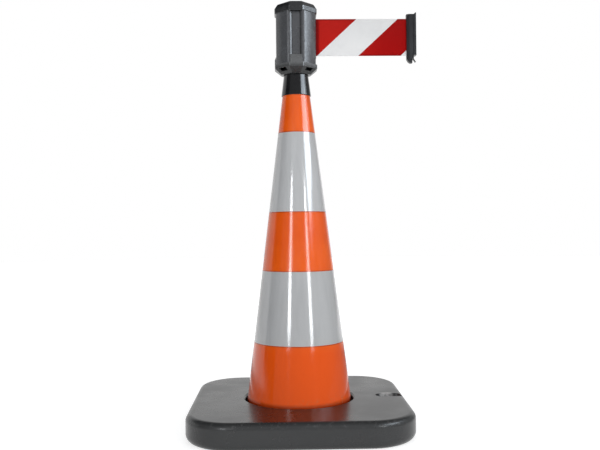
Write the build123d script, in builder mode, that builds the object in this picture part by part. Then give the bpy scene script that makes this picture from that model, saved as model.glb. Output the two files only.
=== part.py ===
from build123d import *
import os
from math import acos, atan2, cos, degrees, sin, sqrt

# Traffic cone with a belt head on its tip.
# Millimetres, Z up. The origin is on the floor under the cone's axis, and the belt leaves along +X.

# Cone
skirt_r = 103.75
tip_r = 23.3
cone_top_z = 692
cone_wall = 3.2
flange_w = 21.2
flange_t = 6
flange_gap = 1.5
skirt_above_base = 0.5

# Base
base_side = 425
base_height = 50
base_corner_r = 90
base_top_r = 12
base_foot_r = 15
base_hole_gap = 4.7
base_rim_edge = 3
grip_length = 54
grip_width = 28
grip_depth = 13
grip_draft = 12
grip_floor_r = 5
grip_inset = 4.5

# Reflective sleeves: the lower one is placed from the floor, the upper one from the cone's tip
lower_sleeve_rise = 163
lower_sleeve_h = 141
upper_sleeve_drop = 113
upper_sleeve_h = 158
sleeve_t = 0.55
sleeve_seat = 0.6
sleeve_fit = 0.03
sleeve_edge_gap = 0.2

# Collar over the cone's tip
collar_drop = 37.5
collar_wall = 1.6
collar_fit = 0.3
collar_deck_t = 8
collar_edge = 0.6
spigot_r = 12
spigot_h = 12
spigot_fit = 0.05

# Collar fastener
bolt_r = 4
bolt_flats = 13
bolt_head_h = 5.3
bolt_gap = 0.3
bolt_end = 1.5
nut_h = 6.5
thread_fit = 0.05
washer_r = 16
washer_t = 1.6

# Head: an octagonal drum, whose cap and lower cup step out at the four main faces
face_half = 39.75
crown_step = 2.75
diagonal_step = 0.25
head_wall = 3
drum_edge_r = 6
crown_edge_r = 5

# Lower cup of the head
cup_overlap = 3
cup_floor_t = 3
slope_h = 11.5
slope_land = 0.1
crown_ring_h = 7.5
collar_gap = 0.5
collar_ring_t = 1.6
web_t = 4.5
hub_wall = 5
hub_above_spigot = 1
window_w = 18
window_h = 6
window_drop = 0.5
window_depth = 12
keeper_inset = 2.1
keeper_gap = 0.15
keeper_edge_r = 0.8
keeper_drop = 5
keeper_slope_h = 6
keeper_slope_in = 2.2

# Screws from the cup up into the housing
base_screw_r = 1.6
base_screw_head_r = 3
base_screw_head_h = 2.2
base_screw_bite = 10
base_boss_r = 3.2
boss_gap = 0.4
screw_gap = 0.4
head_gap = 0.2
pilot_gap = 0.05
pilot_end = 1

# Housing
floor_above_seat = 12
floor_t = 3.5
neck_h = 8.3
neck_gap = 0.15
neck_wall = 2.5
neck_step = 6
receiver_w = 17
receiver_depth = 6
receiver_wall = 2.5
receiver_flare = 3.2
receiver_sill = 2
tower_w = 6
tower_gap = 0.6

# Belt
belt_w = 75
belt_t = 0.6
belt_out = 184.75
belt_above_floor = 5
belt_head_room = 6.5
belt_side_gap = 0.4
roll_fit = 0.05
roll_gap = 0.3
mouth_bend_in = 6.75
mouth_bend_r = 6

# Belt mouth and its guide
mouth_w = 7
mouth_over = 2.5
guide_fit = 0.1
guide_depth = 5.5
guide_flange_w = 11
guide_flange_over = 5.5
guide_flange_t = 1.2
guide_slot_w = 3.2
guide_slot_over = 0.75
guide_lip_r = 0.9
guide_corner_r = 3

# Spool and its bearings
shaft_r = 4
shaft_fit = 0.05
shaft_tail = 2.2
bush_r = 6.5
bush_fit = 0.05
bush_seat_fit = 0.05
bush_flange_r = 9
bush_flange_t = 1.5
bush_stick_out = 0.6
end_play = 0.3
hub_r = 11
hub_spigot_r = 8
hub_spigot_h = 2.8
spool_flange_gap = 2.95
spool_flange_over = 2.5
spool_flange_t = 1.8
anchor_r = 1.05
anchor_pitch_r = 8.2
anchor_slit = 1.4
loop_fit = 0.05
ring_t = 0.8
ring_r = 6.2
ring_gap = 0.1
ring_mouth = 4.6
ring_drop = 0.6
groove_depth = 0.9

# Rewind spring and its cup
spring_cup_over = 0.5
spring_cup_wall = 1.5
spring_cup_floor = 2
spring_cup_h = 16
spring_r = 5.6
spring_t = 0.5
spring_w = 12
spring_turns = 5
spring_room = 1.9
spring_hook = 4.1
spring_tab = 3
spring_slot = 1.1
spring_lift = 0.8
ear_r = 2.8
cover_t = 1.2
cover_hole_r = 5

# Screws of the spring cup
cup_screw_out = 3
cup_screw_r = 1.15
cup_screw_head_r = 2.6
cup_screw_head_h = 1.8
cup_screw_bite = 10

# Cap
cap_h = 20
cap_rim_h = 10
cap_lean = 32
cap_wall = 2.55
cap_top_t = 2.8
cap_top_r = 3
cap_edge_r = 6.5
cap_foot_r = 1.6
cap_pocket_w = 17.5
cap_lip_t = 2.6
cap_pocket_h = 12.3
snap_w = 12
snap_h = 1.4
snap_depth = 0.7
snap_gap = 0.3
snap_rise = 3.3

# Belt end clip
bar_depth = 14.3
bar_w = 15.5
bar_nose_w = 9
bar_nose_l = 5.5
bar_over = 8
clip_flange_t = 5.2
clip_neck_w = 13
clip_neck_l = 1.2
clip_lip_h = 3.5
clip_lip_t = 1
clip_edge_r = 0.8
tail_h = 7.4
tail_w = 10
tail_setback = 3
tail_round_r = 11
spur_w = 6
spur_t = 2
spur_reach = 4.6
spur_drop = 6
spur_tip = 1
spur_heel = 0.5
rod_r = 2
rod_bore_r = 3
rod_inset = 5.6
rod_slit = 1.8
rod_floor = 4
plug_h = 4.5
plug_fit = 0.05

# Heights that follow
skirt_top_z = base_height + skirt_above_base
collar_bottom_z = cone_top_z - collar_drop
collar_top_z = cone_top_z + collar_deck_t
cup_bottom_z = collar_top_z - cup_overlap
slope_top_z = cup_bottom_z + slope_h
seat_z = slope_top_z + crown_ring_h
web_top_z = collar_top_z + web_t
hub_top_z = collar_top_z + spigot_h + hub_above_spigot
floor_z = seat_z + floor_above_seat
floor_top_z = floor_z + floor_t
belt_z = floor_top_z + belt_above_floor
belt_top_z = belt_z + belt_w
belt_mid_z = belt_z + belt_w / 2
housing_top_z = belt_top_z + belt_head_room
neck_top_z = housing_top_z + neck_h
cap_rim_z = housing_top_z + cap_rim_h
keeper_top_z = belt_z - keeper_drop
drum_z = floor_top_z + bush_flange_t + end_play
lower_flange_z = belt_z - belt_side_gap - spool_flange_t
upper_flange_z = belt_top_z + belt_side_gap
drum_top_z = upper_flange_z + hub_spigot_h
spring_floor_z = drum_top_z + end_play + bush_flange_t
spring_inside_z = spring_floor_z + spring_cup_floor
spring_cup_top_z = spring_floor_z + spring_cup_h
spring_z = spring_inside_z + spring_lift
spring_top_z = spring_z + spring_w
clip_z = belt_z - bar_over
clip_top_z = belt_top_z + bar_over

# Distances from the axis that follow
cone_slope = (skirt_r - tip_r) / (cone_top_z - skirt_top_z)
base_hole_r = skirt_r + base_hole_gap
flange_r = skirt_r + flange_w
crown_half = face_half + crown_step
crown_diagonal = face_half + diagonal_step
keeper_w = 2 * (crown_diagonal * sqrt(2) - crown_half - keeper_inset)
inner_half = face_half - head_wall
cap_inner_half = crown_diagonal - cap_wall
neck_half = cap_inner_half - neck_gap
neck_inner_half = neck_half - neck_wall
receiver_floor = face_half - receiver_depth
receiver_back = receiver_floor - receiver_wall
spool_flange_r = receiver_back - spool_flange_gap
roll_r = spool_flange_r - spool_flange_over
tower_inner = spool_flange_r + tower_gap
spring_cup_r = spool_flange_r + spring_cup_over
cup_screw_pitch_r = spring_cup_r + cup_screw_out
spring_end_r = spring_cup_r - spring_cup_wall - spring_room
base_screw_pitch_r = spigot_r + hub_wall + base_boss_r + boss_gap
groove_r = shaft_r - groove_depth
clip_x = face_half + belt_out
clip_face_x = clip_x + bar_depth
clip_out_x = clip_face_x + clip_flange_t
rod_x = clip_x + rod_inset

# Directions in plan: the main faces, the diagonals between them, and the three faces with a receiver
mains = {"count": 4}
diagonals = {"count": 4, "start_angle": 45}
receivers = {"count": 3, "start_angle": 90, "angular_range": 270}

os.makedirs("parts", exist_ok=True)


def octagon(flat, diagonal):
    # corners of an eight-sided outline, by the distances of its main and diagonal faces
    corner = diagonal * sqrt(2) - flat
    half = [(flat, -corner), (flat, corner), (corner, flat), (-corner, flat)]
    return half + [(-x, -y) for x, y in half]


def cone_r(z):
    # outer radius of the cone's taper at a height
    return skirt_r - cone_slope * (z - skirt_top_z)


def upright(edge):
    # true for an edge that climbs
    return abs(edge.tangent_at(0.5).Z) > 0.1


# Base: a square ballast ring, rebated underneath for the cone's flange, with a finger grip
with BuildPart() as base_weight:
    with BuildSketch():
        RectangleRounded(base_side, base_side, base_corner_r)
    extrude(amount=base_height)
    fillet(base_weight.faces().sort_by(Axis.Z)[-1].edges(), base_top_r)
    fillet(base_weight.faces().sort_by(Axis.Z)[0].edges(), base_foot_r)
    with BuildSketch():
        Circle(base_hole_r)
    extrude(amount=base_height, mode=Mode.SUBTRACT)
    hole_edges = base_weight.edges().filter_by(GeomType.CIRCLE).group_by(SortBy.RADIUS)[-1]
    chamfer(hole_edges.sort_by(Axis.Z)[-1], base_rim_edge)
    with BuildSketch():
        Circle(flange_r + flange_gap)
    extrude(amount=flange_t, mode=Mode.SUBTRACT)
    with BuildSketch(Plane.XY.offset(base_height)):
        with Locations((base_side / 2 - grip_inset - grip_length / 2, 0)):
            SlotOverall(grip_length, grip_width)
    extrude(amount=-grip_depth, taper=grip_draft, mode=Mode.SUBTRACT)
    grip_floor = base_weight.faces().filter_by(Axis.Z).sort_by(SortBy.AREA)[0]
    fillet(grip_floor.edges(), grip_floor_r)

base_weight.part.label = "base_weight"
export_step(base_weight.part, "parts/base_weight.step")

# Cone: a thin shell with an upright skirt in the base, a flange under it and two sleeve seats
lower_sleeve_top = lower_sleeve_rise + lower_sleeve_h
upper_sleeve_top = cone_top_z - upper_sleeve_drop
upper_sleeve_rise = upper_sleeve_top - upper_sleeve_h

cone_outline = [(skirt_r - cone_wall, 0), (flange_r, 0), (flange_r, flange_t), (skirt_r, flange_t)]
cone_outline += [(skirt_r, skirt_top_z)]
for low, high in ((lower_sleeve_rise, lower_sleeve_top), (upper_sleeve_rise, upper_sleeve_top)):
    cone_outline += [(cone_r(low), low), (cone_r(low) - sleeve_seat, low)]
    cone_outline += [(cone_r(high) - sleeve_seat, high), (cone_r(high), high)]
cone_outline += [(tip_r, cone_top_z), (tip_r - cone_wall, cone_top_z)]
cone_outline += [(skirt_r - cone_wall, skirt_top_z)]

with BuildPart() as cone_shell:
    with BuildSketch(Plane.XZ):
        Polygon(*cone_outline, align=None)
    revolve(axis=Axis.Z)

cone_shell.part.label = "cone_shell"
export_step(cone_shell.part, "parts/cone_shell.step")


def sleeve_outline(low, high):
    # section of a reflective sleeve that lies in its seat
    bottom = low + sleeve_edge_gap
    top = high - sleeve_edge_gap
    inside = sleeve_fit - sleeve_seat
    outside = inside + sleeve_t
    return [
        (cone_r(bottom) + inside, bottom),
        (cone_r(bottom) + outside, bottom),
        (cone_r(top) + outside, top),
        (cone_r(top) + inside, top),
    ]


# Reflective sleeves
with BuildPart() as lower_sleeve:
    with BuildSketch(Plane.XZ):
        Polygon(*sleeve_outline(lower_sleeve_rise, lower_sleeve_top), align=None)
    revolve(axis=Axis.Z)

lower_sleeve.part.label = "lower_sleeve"
export_step(lower_sleeve.part, "parts/lower_sleeve.step")

with BuildPart() as upper_sleeve:
    with BuildSketch(Plane.XZ):
        Polygon(*sleeve_outline(upper_sleeve_rise, upper_sleeve_top), align=None)
    revolve(axis=Axis.Z)

upper_sleeve.part.label = "upper_sleeve"
export_step(upper_sleeve.part, "parts/upper_sleeve.step")

# Collar: a tapered socket that sits on the cone's tip, with a spigot up into the head
collar_skin = collar_fit + collar_wall
spigot_top_z = collar_top_z + spigot_h
collar_outline = [
    (cone_r(collar_bottom_z) + collar_fit, collar_bottom_z),
    (cone_r(collar_bottom_z) + collar_skin - collar_edge, collar_bottom_z),
    (cone_r(collar_bottom_z + collar_edge) + collar_skin, collar_bottom_z + collar_edge),
    (cone_r(collar_top_z) + collar_skin, collar_top_z),
    (spigot_r, collar_top_z),
    (spigot_r, spigot_top_z),
    (bolt_r + bolt_gap, spigot_top_z),
    (bolt_r + bolt_gap, cone_top_z),
    (tip_r + collar_fit, cone_top_z),
]

with BuildPart() as collar:
    with BuildSketch(Plane.XZ):
        Polygon(*collar_outline, align=None)
    revolve(axis=Axis.Z)

collar.part.label = "collar"
export_step(collar.part, "parts/collar.step")

# Collar fastener: a bolt up through the collar, a washer at each end of the stack, a nut on top
bolt_seat_z = cone_top_z - washer_t
nut_z = hub_top_z + washer_t
nut_top_z = nut_z + nut_h

with BuildPart() as collar_bolt:
    with BuildSketch(Plane.XY.offset(bolt_seat_z - bolt_head_h)):
        RegularPolygon(bolt_flats / 2, 6, major_radius=False)
    extrude(amount=bolt_head_h)
    with BuildSketch(Plane.XY.offset(bolt_seat_z)):
        Circle(bolt_r)
    extrude(amount=nut_top_z + bolt_end - bolt_seat_z)

collar_bolt.part.label = "collar_bolt"
export_step(collar_bolt.part, "parts/collar_bolt.step")

with BuildPart() as collar_washers:
    for washer_z in (bolt_seat_z, hub_top_z):
        with BuildSketch(Plane.XY.offset(washer_z)):
            Circle(washer_r)
            Circle(bolt_r + bolt_gap, mode=Mode.SUBTRACT)
        extrude(amount=washer_t)

collar_washers.part.label = "collar_washers"
export_step(collar_washers.part, "parts/collar_washers.step")

with BuildPart() as collar_nut:
    with BuildSketch(Plane.XY.offset(nut_z)):
        RegularPolygon(bolt_flats / 2, 6, major_radius=False)
        Circle(bolt_r + thread_fit, mode=Mode.SUBTRACT)
    extrude(amount=nut_h)

collar_nut.part.label = "collar_nut"
export_step(collar_nut.part, "parts/collar_nut.step")

# Lower cup of the head: sloped underside with drain windows, a hub for the collar, three keepers
collar_hole_r = cone_r(cup_bottom_z) + collar_skin + collar_gap
web_r = collar_hole_r + collar_ring_t
slope_in = crown_diagonal - web_r - slope_land
slope_angle = degrees(atan2(slope_in, slope_h))
keeper_inner = face_half + keeper_gap
keeper_slope = [
    (crown_half, keeper_top_z - keeper_slope_h),
    (crown_half, keeper_top_z),
    (crown_half - keeper_slope_in, keeper_top_z),
]
screw_seat_z = collar_top_z + base_screw_head_h + head_gap

with BuildPart() as head_base:
    with BuildSketch(Plane.XY.offset(slope_top_z)):
        Polygon(*octagon(crown_half, crown_diagonal), align=None)
    extrude(amount=crown_ring_h)
    with BuildSketch(Plane((0, 0, slope_top_z), z_dir=(0, 0, -1))):
        Polygon(*octagon(crown_half, crown_diagonal), align=None)
    extrude(amount=slope_h, taper=slope_angle)
    fillet(head_base.edges().filter_by(upright), crown_edge_r)
    # hollow
    with BuildSketch(Plane.XY.offset(slope_top_z)):
        Polygon(*octagon(inner_half, inner_half), align=None)
    extrude(amount=crown_ring_h, mode=Mode.SUBTRACT)
    with BuildSketch(Plane((0, 0, slope_top_z), z_dir=(0, 0, -1))):
        Polygon(*octagon(inner_half, inner_half), align=None)
    extrude(amount=slope_h - cup_floor_t, taper=slope_angle, mode=Mode.SUBTRACT)
    # web and hub
    with BuildSketch(Plane.XY.offset(cup_bottom_z)):
        Circle(web_r)
    extrude(amount=web_top_z - cup_bottom_z)
    with BuildSketch(Plane.XY.offset(web_top_z)):
        Circle(spigot_r + hub_wall)
    extrude(amount=hub_top_z - web_top_z)
    # socket for the collar and its spigot
    with BuildSketch(Plane.XY.offset(cup_bottom_z)):
        Circle(collar_hole_r)
    extrude(amount=cup_overlap, mode=Mode.SUBTRACT)
    with BuildSketch(Plane.XY.offset(collar_top_z)):
        Circle(spigot_r + spigot_fit)
    extrude(amount=hub_top_z - collar_top_z, mode=Mode.SUBTRACT)
    # screw holes, their heads hidden above the collar
    with BuildSketch(Plane.XY.offset(collar_top_z)):
        with PolarLocations(base_screw_pitch_r, **mains):
            Circle(base_screw_head_r + screw_gap)
    extrude(amount=screw_seat_z - collar_top_z, mode=Mode.SUBTRACT)
    with BuildSketch(Plane.XY.offset(screw_seat_z)):
        with PolarLocations(base_screw_pitch_r, **mains):
            Circle(base_screw_r + screw_gap)
    extrude(amount=web_top_z - screw_seat_z, mode=Mode.SUBTRACT)
    # drain windows in the diagonal slopes
    with BuildSketch(Plane.XY.offset(slope_top_z - window_drop - window_h)):
        with PolarLocations(crown_half - window_depth / 2, **diagonals):
            Rectangle(window_depth, window_w)
    extrude(amount=window_h, mode=Mode.SUBTRACT)
    # keepers in front of the receivers, sloped off at the top
    with BuildSketch(Plane.XY.offset(seat_z)) as keeper_plan:
        with Locations(((keeper_inner + crown_half) / 2, 0)):
            Rectangle(crown_half - keeper_inner, keeper_w)
        fillet(keeper_plan.vertices().group_by(Axis.X)[-1], keeper_edge_r)
    keeper = extrude(amount=keeper_top_z - seat_z, mode=Mode.PRIVATE)
    with BuildSketch(Plane.XZ):
        Polygon(*keeper_slope, align=None)
    keeper_cut = extrude(amount=keeper_w / 2, both=True, mode=Mode.PRIVATE)
    with PolarLocations(0, **receivers):
        add(keeper)
        add(keeper_cut, mode=Mode.SUBTRACT)

head_base.part.label = "head_base"
export_step(head_base.part, "parts/head_base.step")

# Screws that hold the cup to the housing
with BuildPart() as base_screws:
    with BuildSketch(Plane.XY.offset(screw_seat_z - base_screw_head_h)):
        with PolarLocations(base_screw_pitch_r, **mains):
            Circle(base_screw_head_r)
    extrude(amount=base_screw_head_h)
    with BuildSketch(Plane.XY.offset(screw_seat_z)):
        with PolarLocations(base_screw_pitch_r, **mains):
            Circle(base_screw_r)
    extrude(amount=web_top_z + base_screw_bite - screw_seat_z)

base_screws.part.label = "base_screws"
export_step(base_screws.part, "parts/base_screws.step")


def hollow(half, towers):
    # plan of the room inside the housing, clear of the receivers and of the spring cup's towers
    Polygon(*octagon(half, half), align=None)
    with PolarLocations((receiver_back + face_half) / 2, **receivers):
        Rectangle(face_half - receiver_back, receiver_w + 2 * receiver_wall, mode=Mode.SUBTRACT)
    if towers:
        with PolarLocations((tower_inner + face_half) / 2, **diagonals):
            Rectangle(face_half - tower_inner, tower_w, mode=Mode.SUBTRACT)


# Housing: octagonal drum with three belt receivers, a belt mouth and a neck for the cap
mouth_h = belt_w + 2 * mouth_over
boss_pilot_h = base_screw_bite + pilot_end
tower_pilot_h = cup_screw_bite + pilot_end
step_z = housing_top_z - neck_step
half_w = receiver_w / 2
flare_w = half_w + receiver_flare
receiver_outline = [
    (receiver_floor, -half_w),
    (face_half - receiver_flare, -half_w),
    (face_half, -flare_w),
    (crown_half, -flare_w),
    (crown_half, flare_w),
    (face_half, flare_w),
    (face_half - receiver_flare, half_w),
    (receiver_floor, half_w),
]

with BuildPart() as housing:
    with BuildSketch(Plane.XY.offset(seat_z)):
        Polygon(*octagon(face_half, face_half), align=None)
    extrude(amount=housing_top_z - seat_z)
    fillet(housing.edges().filter_by(Axis.Z), drum_edge_r)
    with BuildSketch(Plane.XY.offset(housing_top_z)):
        Polygon(*octagon(neck_half, neck_half), align=None)
    extrude(amount=neck_h)
    # room below the floor, beside the spool, and up through the neck
    with BuildSketch(Plane.XY.offset(seat_z)):
        hollow(inner_half, towers=False)
    extrude(amount=floor_above_seat, mode=Mode.SUBTRACT)
    with BuildSketch(Plane.XY.offset(floor_top_z)):
        hollow(inner_half, towers=True)
    extrude(amount=step_z - floor_top_z, mode=Mode.SUBTRACT)
    with BuildSketch(Plane.XY.offset(step_z)):
        hollow(neck_inner_half, towers=True)
    extrude(amount=spring_floor_z - step_z, mode=Mode.SUBTRACT)
    with BuildSketch(Plane.XY.offset(spring_floor_z)):
        hollow(neck_inner_half, towers=False)
    extrude(amount=neck_top_z - spring_floor_z, mode=Mode.SUBTRACT)
    # bosses under the floor, and pilot holes in them and in the towers
    with BuildSketch(Plane.XY.offset(web_top_z)):
        with PolarLocations(base_screw_pitch_r, **mains):
            Circle(base_boss_r)
    extrude(amount=floor_z - web_top_z)
    with BuildSketch(Plane.XY.offset(web_top_z)):
        with PolarLocations(base_screw_pitch_r, **mains):
            Circle(base_screw_r + pilot_gap)
    extrude(amount=boss_pilot_h, mode=Mode.SUBTRACT)
    with BuildSketch(Plane.XY.offset(spring_floor_z - tower_pilot_h)):
        with PolarLocations(cup_screw_pitch_r, **diagonals):
            Circle(cup_screw_r + pilot_gap)
    extrude(amount=tower_pilot_h, mode=Mode.SUBTRACT)
    # receivers, flared at their mouths
    with BuildSketch(Plane.XY.offset(seat_z + receiver_sill)):
        with PolarLocations(0, **receivers):
            Polygon(*receiver_outline, align=None)
    extrude(amount=neck_top_z - seat_z - receiver_sill, mode=Mode.SUBTRACT)
    # belt mouth
    with BuildSketch(Plane.YZ):
        with Locations((0, belt_mid_z)):
            Rectangle(mouth_w, mouth_h)
    extrude(amount=crown_half, mode=Mode.SUBTRACT)
    # seat of the lower bush
    with BuildSketch(Plane.XY.offset(floor_z)):
        Circle(bush_r)
    extrude(amount=floor_t, mode=Mode.SUBTRACT)
    # grooves for the cap's snaps
    with BuildSketch(Plane.XY.offset(housing_top_z + snap_rise - snap_gap)):
        with PolarLocations(neck_half, **diagonals):
            Rectangle(2 * (snap_depth + snap_gap), snap_w + 2 * snap_gap)
    extrude(amount=snap_h + 2 * snap_gap, mode=Mode.SUBTRACT)

housing.part.label = "housing"
export_step(housing.part, "parts/housing.step")

# Guide in the belt mouth: a flanged frame with rounded lips
guide_x = face_half - guide_depth

with BuildPart() as mouth_guide:
    with BuildSketch(Plane.YZ.offset(guide_x)):
        with Locations((0, belt_mid_z)):
            Rectangle(mouth_w - 2 * guide_fit, mouth_h - 2 * guide_fit)
    extrude(amount=guide_depth)
    with BuildSketch(Plane.YZ.offset(face_half)):
        with Locations((0, belt_mid_z)):
            RectangleRounded(guide_flange_w, belt_w + 2 * guide_flange_over, guide_corner_r)
    extrude(amount=guide_flange_t)
    with BuildSketch(Plane.YZ.offset(guide_x)):
        with Locations((0, belt_mid_z)):
            Rectangle(guide_slot_w, belt_w + 2 * guide_slot_over)
    extrude(amount=guide_depth + guide_flange_t, mode=Mode.SUBTRACT)
    ends = mouth_guide.faces().filter_by(Axis.X).sort_by(Axis.X)
    fillet(ends[0].inner_wires().edges() + ends[-1].inner_wires().edges(), guide_lip_r)

mouth_guide.part.label = "mouth_guide"
export_step(mouth_guide.part, "parts/mouth_guide.step")


def bush_outline(flange_face, seat, end):
    # section of a flanged bush: heights of its flange's free face, its seat and its plain end
    inner = shaft_r + bush_fit
    outer = bush_r - bush_seat_fit
    return [
        (inner, flange_face),
        (bush_flange_r, flange_face),
        (bush_flange_r, seat),
        (outer, seat),
        (outer, end),
        (inner, end),
    ]


# Bushes of the spool shaft: one in the housing's floor, one in the spring cup's
with BuildPart() as lower_bush:
    with BuildSketch(Plane.XZ):
        Polygon(
            *bush_outline(floor_top_z + bush_flange_t, floor_top_z, floor_z - bush_stick_out),
            align=None,
        )
    revolve(axis=Axis.Z)

lower_bush.part.label = "lower_bush"
export_step(lower_bush.part, "parts/lower_bush.step")

with BuildPart() as upper_bush:
    with BuildSketch(Plane.XZ):
        Polygon(
            *bush_outline(
                spring_floor_z - bush_flange_t,
                spring_floor_z,
                spring_inside_z + bush_stick_out,
            ),
            align=None,
        )
    revolve(axis=Axis.Z)

upper_bush.part.label = "upper_bush"
export_step(upper_bush.part, "parts/upper_bush.step")

# Spring cup: stands on the housing's towers by four ears
with BuildPart() as spring_cup:
    with BuildSketch(Plane.XY.offset(spring_floor_z)):
        Circle(spring_cup_r)
        with PolarLocations(cup_screw_pitch_r / 2, **diagonals):
            Rectangle(cup_screw_pitch_r, 2 * ear_r)
        with PolarLocations(cup_screw_pitch_r, **diagonals):
            Circle(ear_r)
        with PolarLocations(cup_screw_pitch_r, **diagonals):
            Circle(cup_screw_r + screw_gap, mode=Mode.SUBTRACT)
        Circle(bush_r, mode=Mode.SUBTRACT)
    extrude(amount=spring_cup_floor)
    with BuildSketch(Plane.XY.offset(spring_inside_z)):
        Circle(spring_cup_r)
        Circle(spring_cup_r - spring_cup_wall, mode=Mode.SUBTRACT)
        with Locations((spring_cup_r - spring_cup_wall / 2, 0)):
            Rectangle(2 * spring_cup_wall, spring_slot, mode=Mode.SUBTRACT)
    extrude(amount=spring_cup_top_z - spring_inside_z)

spring_cup.part.label = "spring_cup"
export_step(spring_cup.part, "parts/spring_cup.step")

with BuildPart() as cup_screws:
    with BuildSketch(Plane.XY.offset(spring_inside_z)):
        with PolarLocations(cup_screw_pitch_r, **diagonals):
            Circle(cup_screw_head_r)
    extrude(amount=cup_screw_head_h)
    with BuildSketch(Plane.XY.offset(spring_floor_z - cup_screw_bite)):
        with PolarLocations(cup_screw_pitch_r, **diagonals):
            Circle(cup_screw_r)
    extrude(amount=cup_screw_bite + spring_cup_floor)

cup_screws.part.label = "cup_screws"
export_step(cup_screws.part, "parts/cup_screws.step")

# Rewind spring: a flat spiral of half turns about two centres, hooked to the shaft and to the cup
half_pitch = (spring_end_r - spring_r) / spring_turns / 2

with BuildPart() as power_spring:
    with BuildSketch(Plane.XY.offset(spring_z)):
        with BuildLine():
            for side in (-spring_t / 2, spring_t / 2):
                for step in range(2 * spring_turns):
                    odd = step % 2
                    turn_r = spring_r + half_pitch * step + side
                    CenterArc((half_pitch * odd, 0), turn_r, 180 * odd, 180)
            for end_r in (spring_r, spring_end_r):
                Line((end_r - spring_t / 2, 0), (end_r + spring_t / 2, 0))
        make_face()
        with Locations((spring_r + spring_t / 2 - spring_hook / 2, 0)):
            Rectangle(spring_hook, spring_t)
        with Locations((spring_end_r - spring_t / 2 + spring_tab / 2, 0)):
            Rectangle(spring_tab, spring_t)
    extrude(amount=spring_w)

power_spring.part.label = "power_spring"
export_step(power_spring.part, "parts/power_spring.step")

# Cover of the spring cup, welded on its rim
with BuildPart() as spring_cover:
    with BuildSketch(Plane.XY.offset(spring_cup_top_z)):
        Circle(spring_cup_r)
        Circle(cover_hole_r, mode=Mode.SUBTRACT)
    extrude(amount=cover_t)

spring_cover.part.label = "spring_cover"
export_step(spring_cover.part, "parts/spring_cover.step")

# Cap: steps out at the main faces, leans in above its rim, with a pocket for a clip's lip and four snaps
pocket_out = crown_half - cap_lip_t

with BuildPart() as top_cap:
    with BuildSketch(Plane.XY.offset(housing_top_z)):
        Polygon(*octagon(crown_half, crown_diagonal), align=None)
    extrude(amount=cap_rim_h)
    with BuildSketch(Plane.XY.offset(cap_rim_z)):
        Polygon(*octagon(crown_half, crown_diagonal), align=None)
    extrude(amount=cap_h - cap_rim_h, taper=cap_lean)
    fillet(top_cap.edges().filter_by(upright), cap_edge_r)
    fillet(top_cap.faces().sort_by(Axis.Z)[-1].edges(), cap_top_r)
    fillet(top_cap.faces().sort_by(Axis.Z)[0].edges(), cap_foot_r)
    with BuildSketch(Plane.XY.offset(housing_top_z)):
        Polygon(*octagon(cap_inner_half, cap_inner_half), align=None)
    extrude(amount=cap_rim_h, mode=Mode.SUBTRACT)
    with BuildSketch(Plane.XY.offset(cap_rim_z)):
        Polygon(*octagon(cap_inner_half, cap_inner_half), align=None)
    extrude(amount=cap_h - cap_top_t - cap_rim_h, taper=cap_lean, mode=Mode.SUBTRACT)
    with BuildSketch(Plane.XY.offset(housing_top_z)):
        with PolarLocations((receiver_floor + pocket_out) / 2, **mains):
            Rectangle(pocket_out - receiver_floor, cap_pocket_w)
    extrude(amount=cap_pocket_h, mode=Mode.SUBTRACT)
    with BuildSketch(Plane.XY.offset(housing_top_z + snap_rise)):
        with PolarLocations(cap_inner_half, **diagonals):
            Rectangle(2 * snap_depth, snap_w)
    extrude(amount=snap_h)

top_cap.part.label = "top_cap"
export_step(top_cap.part, "parts/top_cap.step")

# Spool shaft: turns with the spool, slotted at the top for the spring, grooved below for its ring
ring_z = floor_z - bush_stick_out - ring_drop - ring_t
shaft_z = ring_z - shaft_tail
slot_depth = shaft_r + spring_t

with BuildPart() as spool_shaft:
    with BuildSketch(Plane.XY.offset(shaft_z)):
        Circle(shaft_r)
    extrude(amount=spring_top_z - shaft_z)
    with BuildSketch(Plane.XY.offset(ring_z - ring_gap)):
        Circle(shaft_r)
        Circle(groove_r, mode=Mode.SUBTRACT)
    extrude(amount=ring_t + 2 * ring_gap, mode=Mode.SUBTRACT)
    with BuildSketch(Plane.XY.offset(spring_inside_z)):
        with Locations((slot_depth / 2, 0)):
            Rectangle(slot_depth, spring_slot)
    extrude(amount=spring_top_z - spring_inside_z, mode=Mode.SUBTRACT)

spool_shaft.part.label = "spool_shaft"
export_step(spool_shaft.part, "parts/spool_shaft.step")

with BuildPart() as shaft_ring:
    with BuildSketch(Plane.XY.offset(ring_z)):
        Circle(ring_r)
        Circle(groove_r + ring_gap, mode=Mode.SUBTRACT)
        with Locations((-ring_r / 2, 0)):
            Rectangle(ring_r, ring_mouth, mode=Mode.SUBTRACT)
    extrude(amount=ring_t)

shaft_ring.part.label = "shaft_ring"
export_step(shaft_ring.part, "parts/shaft_ring.step")

# Spool: a hub with its lower flange, and a keyhole along it that holds the belt's inner end
anchor_loop_r = anchor_r + loop_fit + belt_t
slit_length = hub_r - anchor_pitch_r + belt_t

with BuildPart() as spool_drum:
    with BuildSketch(Plane.XY.offset(drum_z)):
        Circle(hub_r)
    extrude(amount=upper_flange_z - drum_z)
    with BuildSketch(Plane.XY.offset(lower_flange_z)):
        Circle(spool_flange_r)
    extrude(amount=spool_flange_t)
    with BuildSketch(Plane.XY.offset(upper_flange_z)):
        Circle(hub_spigot_r)
    extrude(amount=hub_spigot_h)
    with BuildSketch(Plane.XY.offset(drum_z)):
        Circle(shaft_r + shaft_fit)
    extrude(amount=drum_top_z - drum_z, mode=Mode.SUBTRACT)
    with BuildSketch(Plane.XY.offset(belt_z)):
        with Locations((0, anchor_pitch_r)):
            Circle(anchor_loop_r + loop_fit)
        with Locations((0, anchor_pitch_r + slit_length / 2)):
            Rectangle(anchor_slit, slit_length)
    extrude(amount=upper_flange_z - belt_z, mode=Mode.SUBTRACT)

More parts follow.
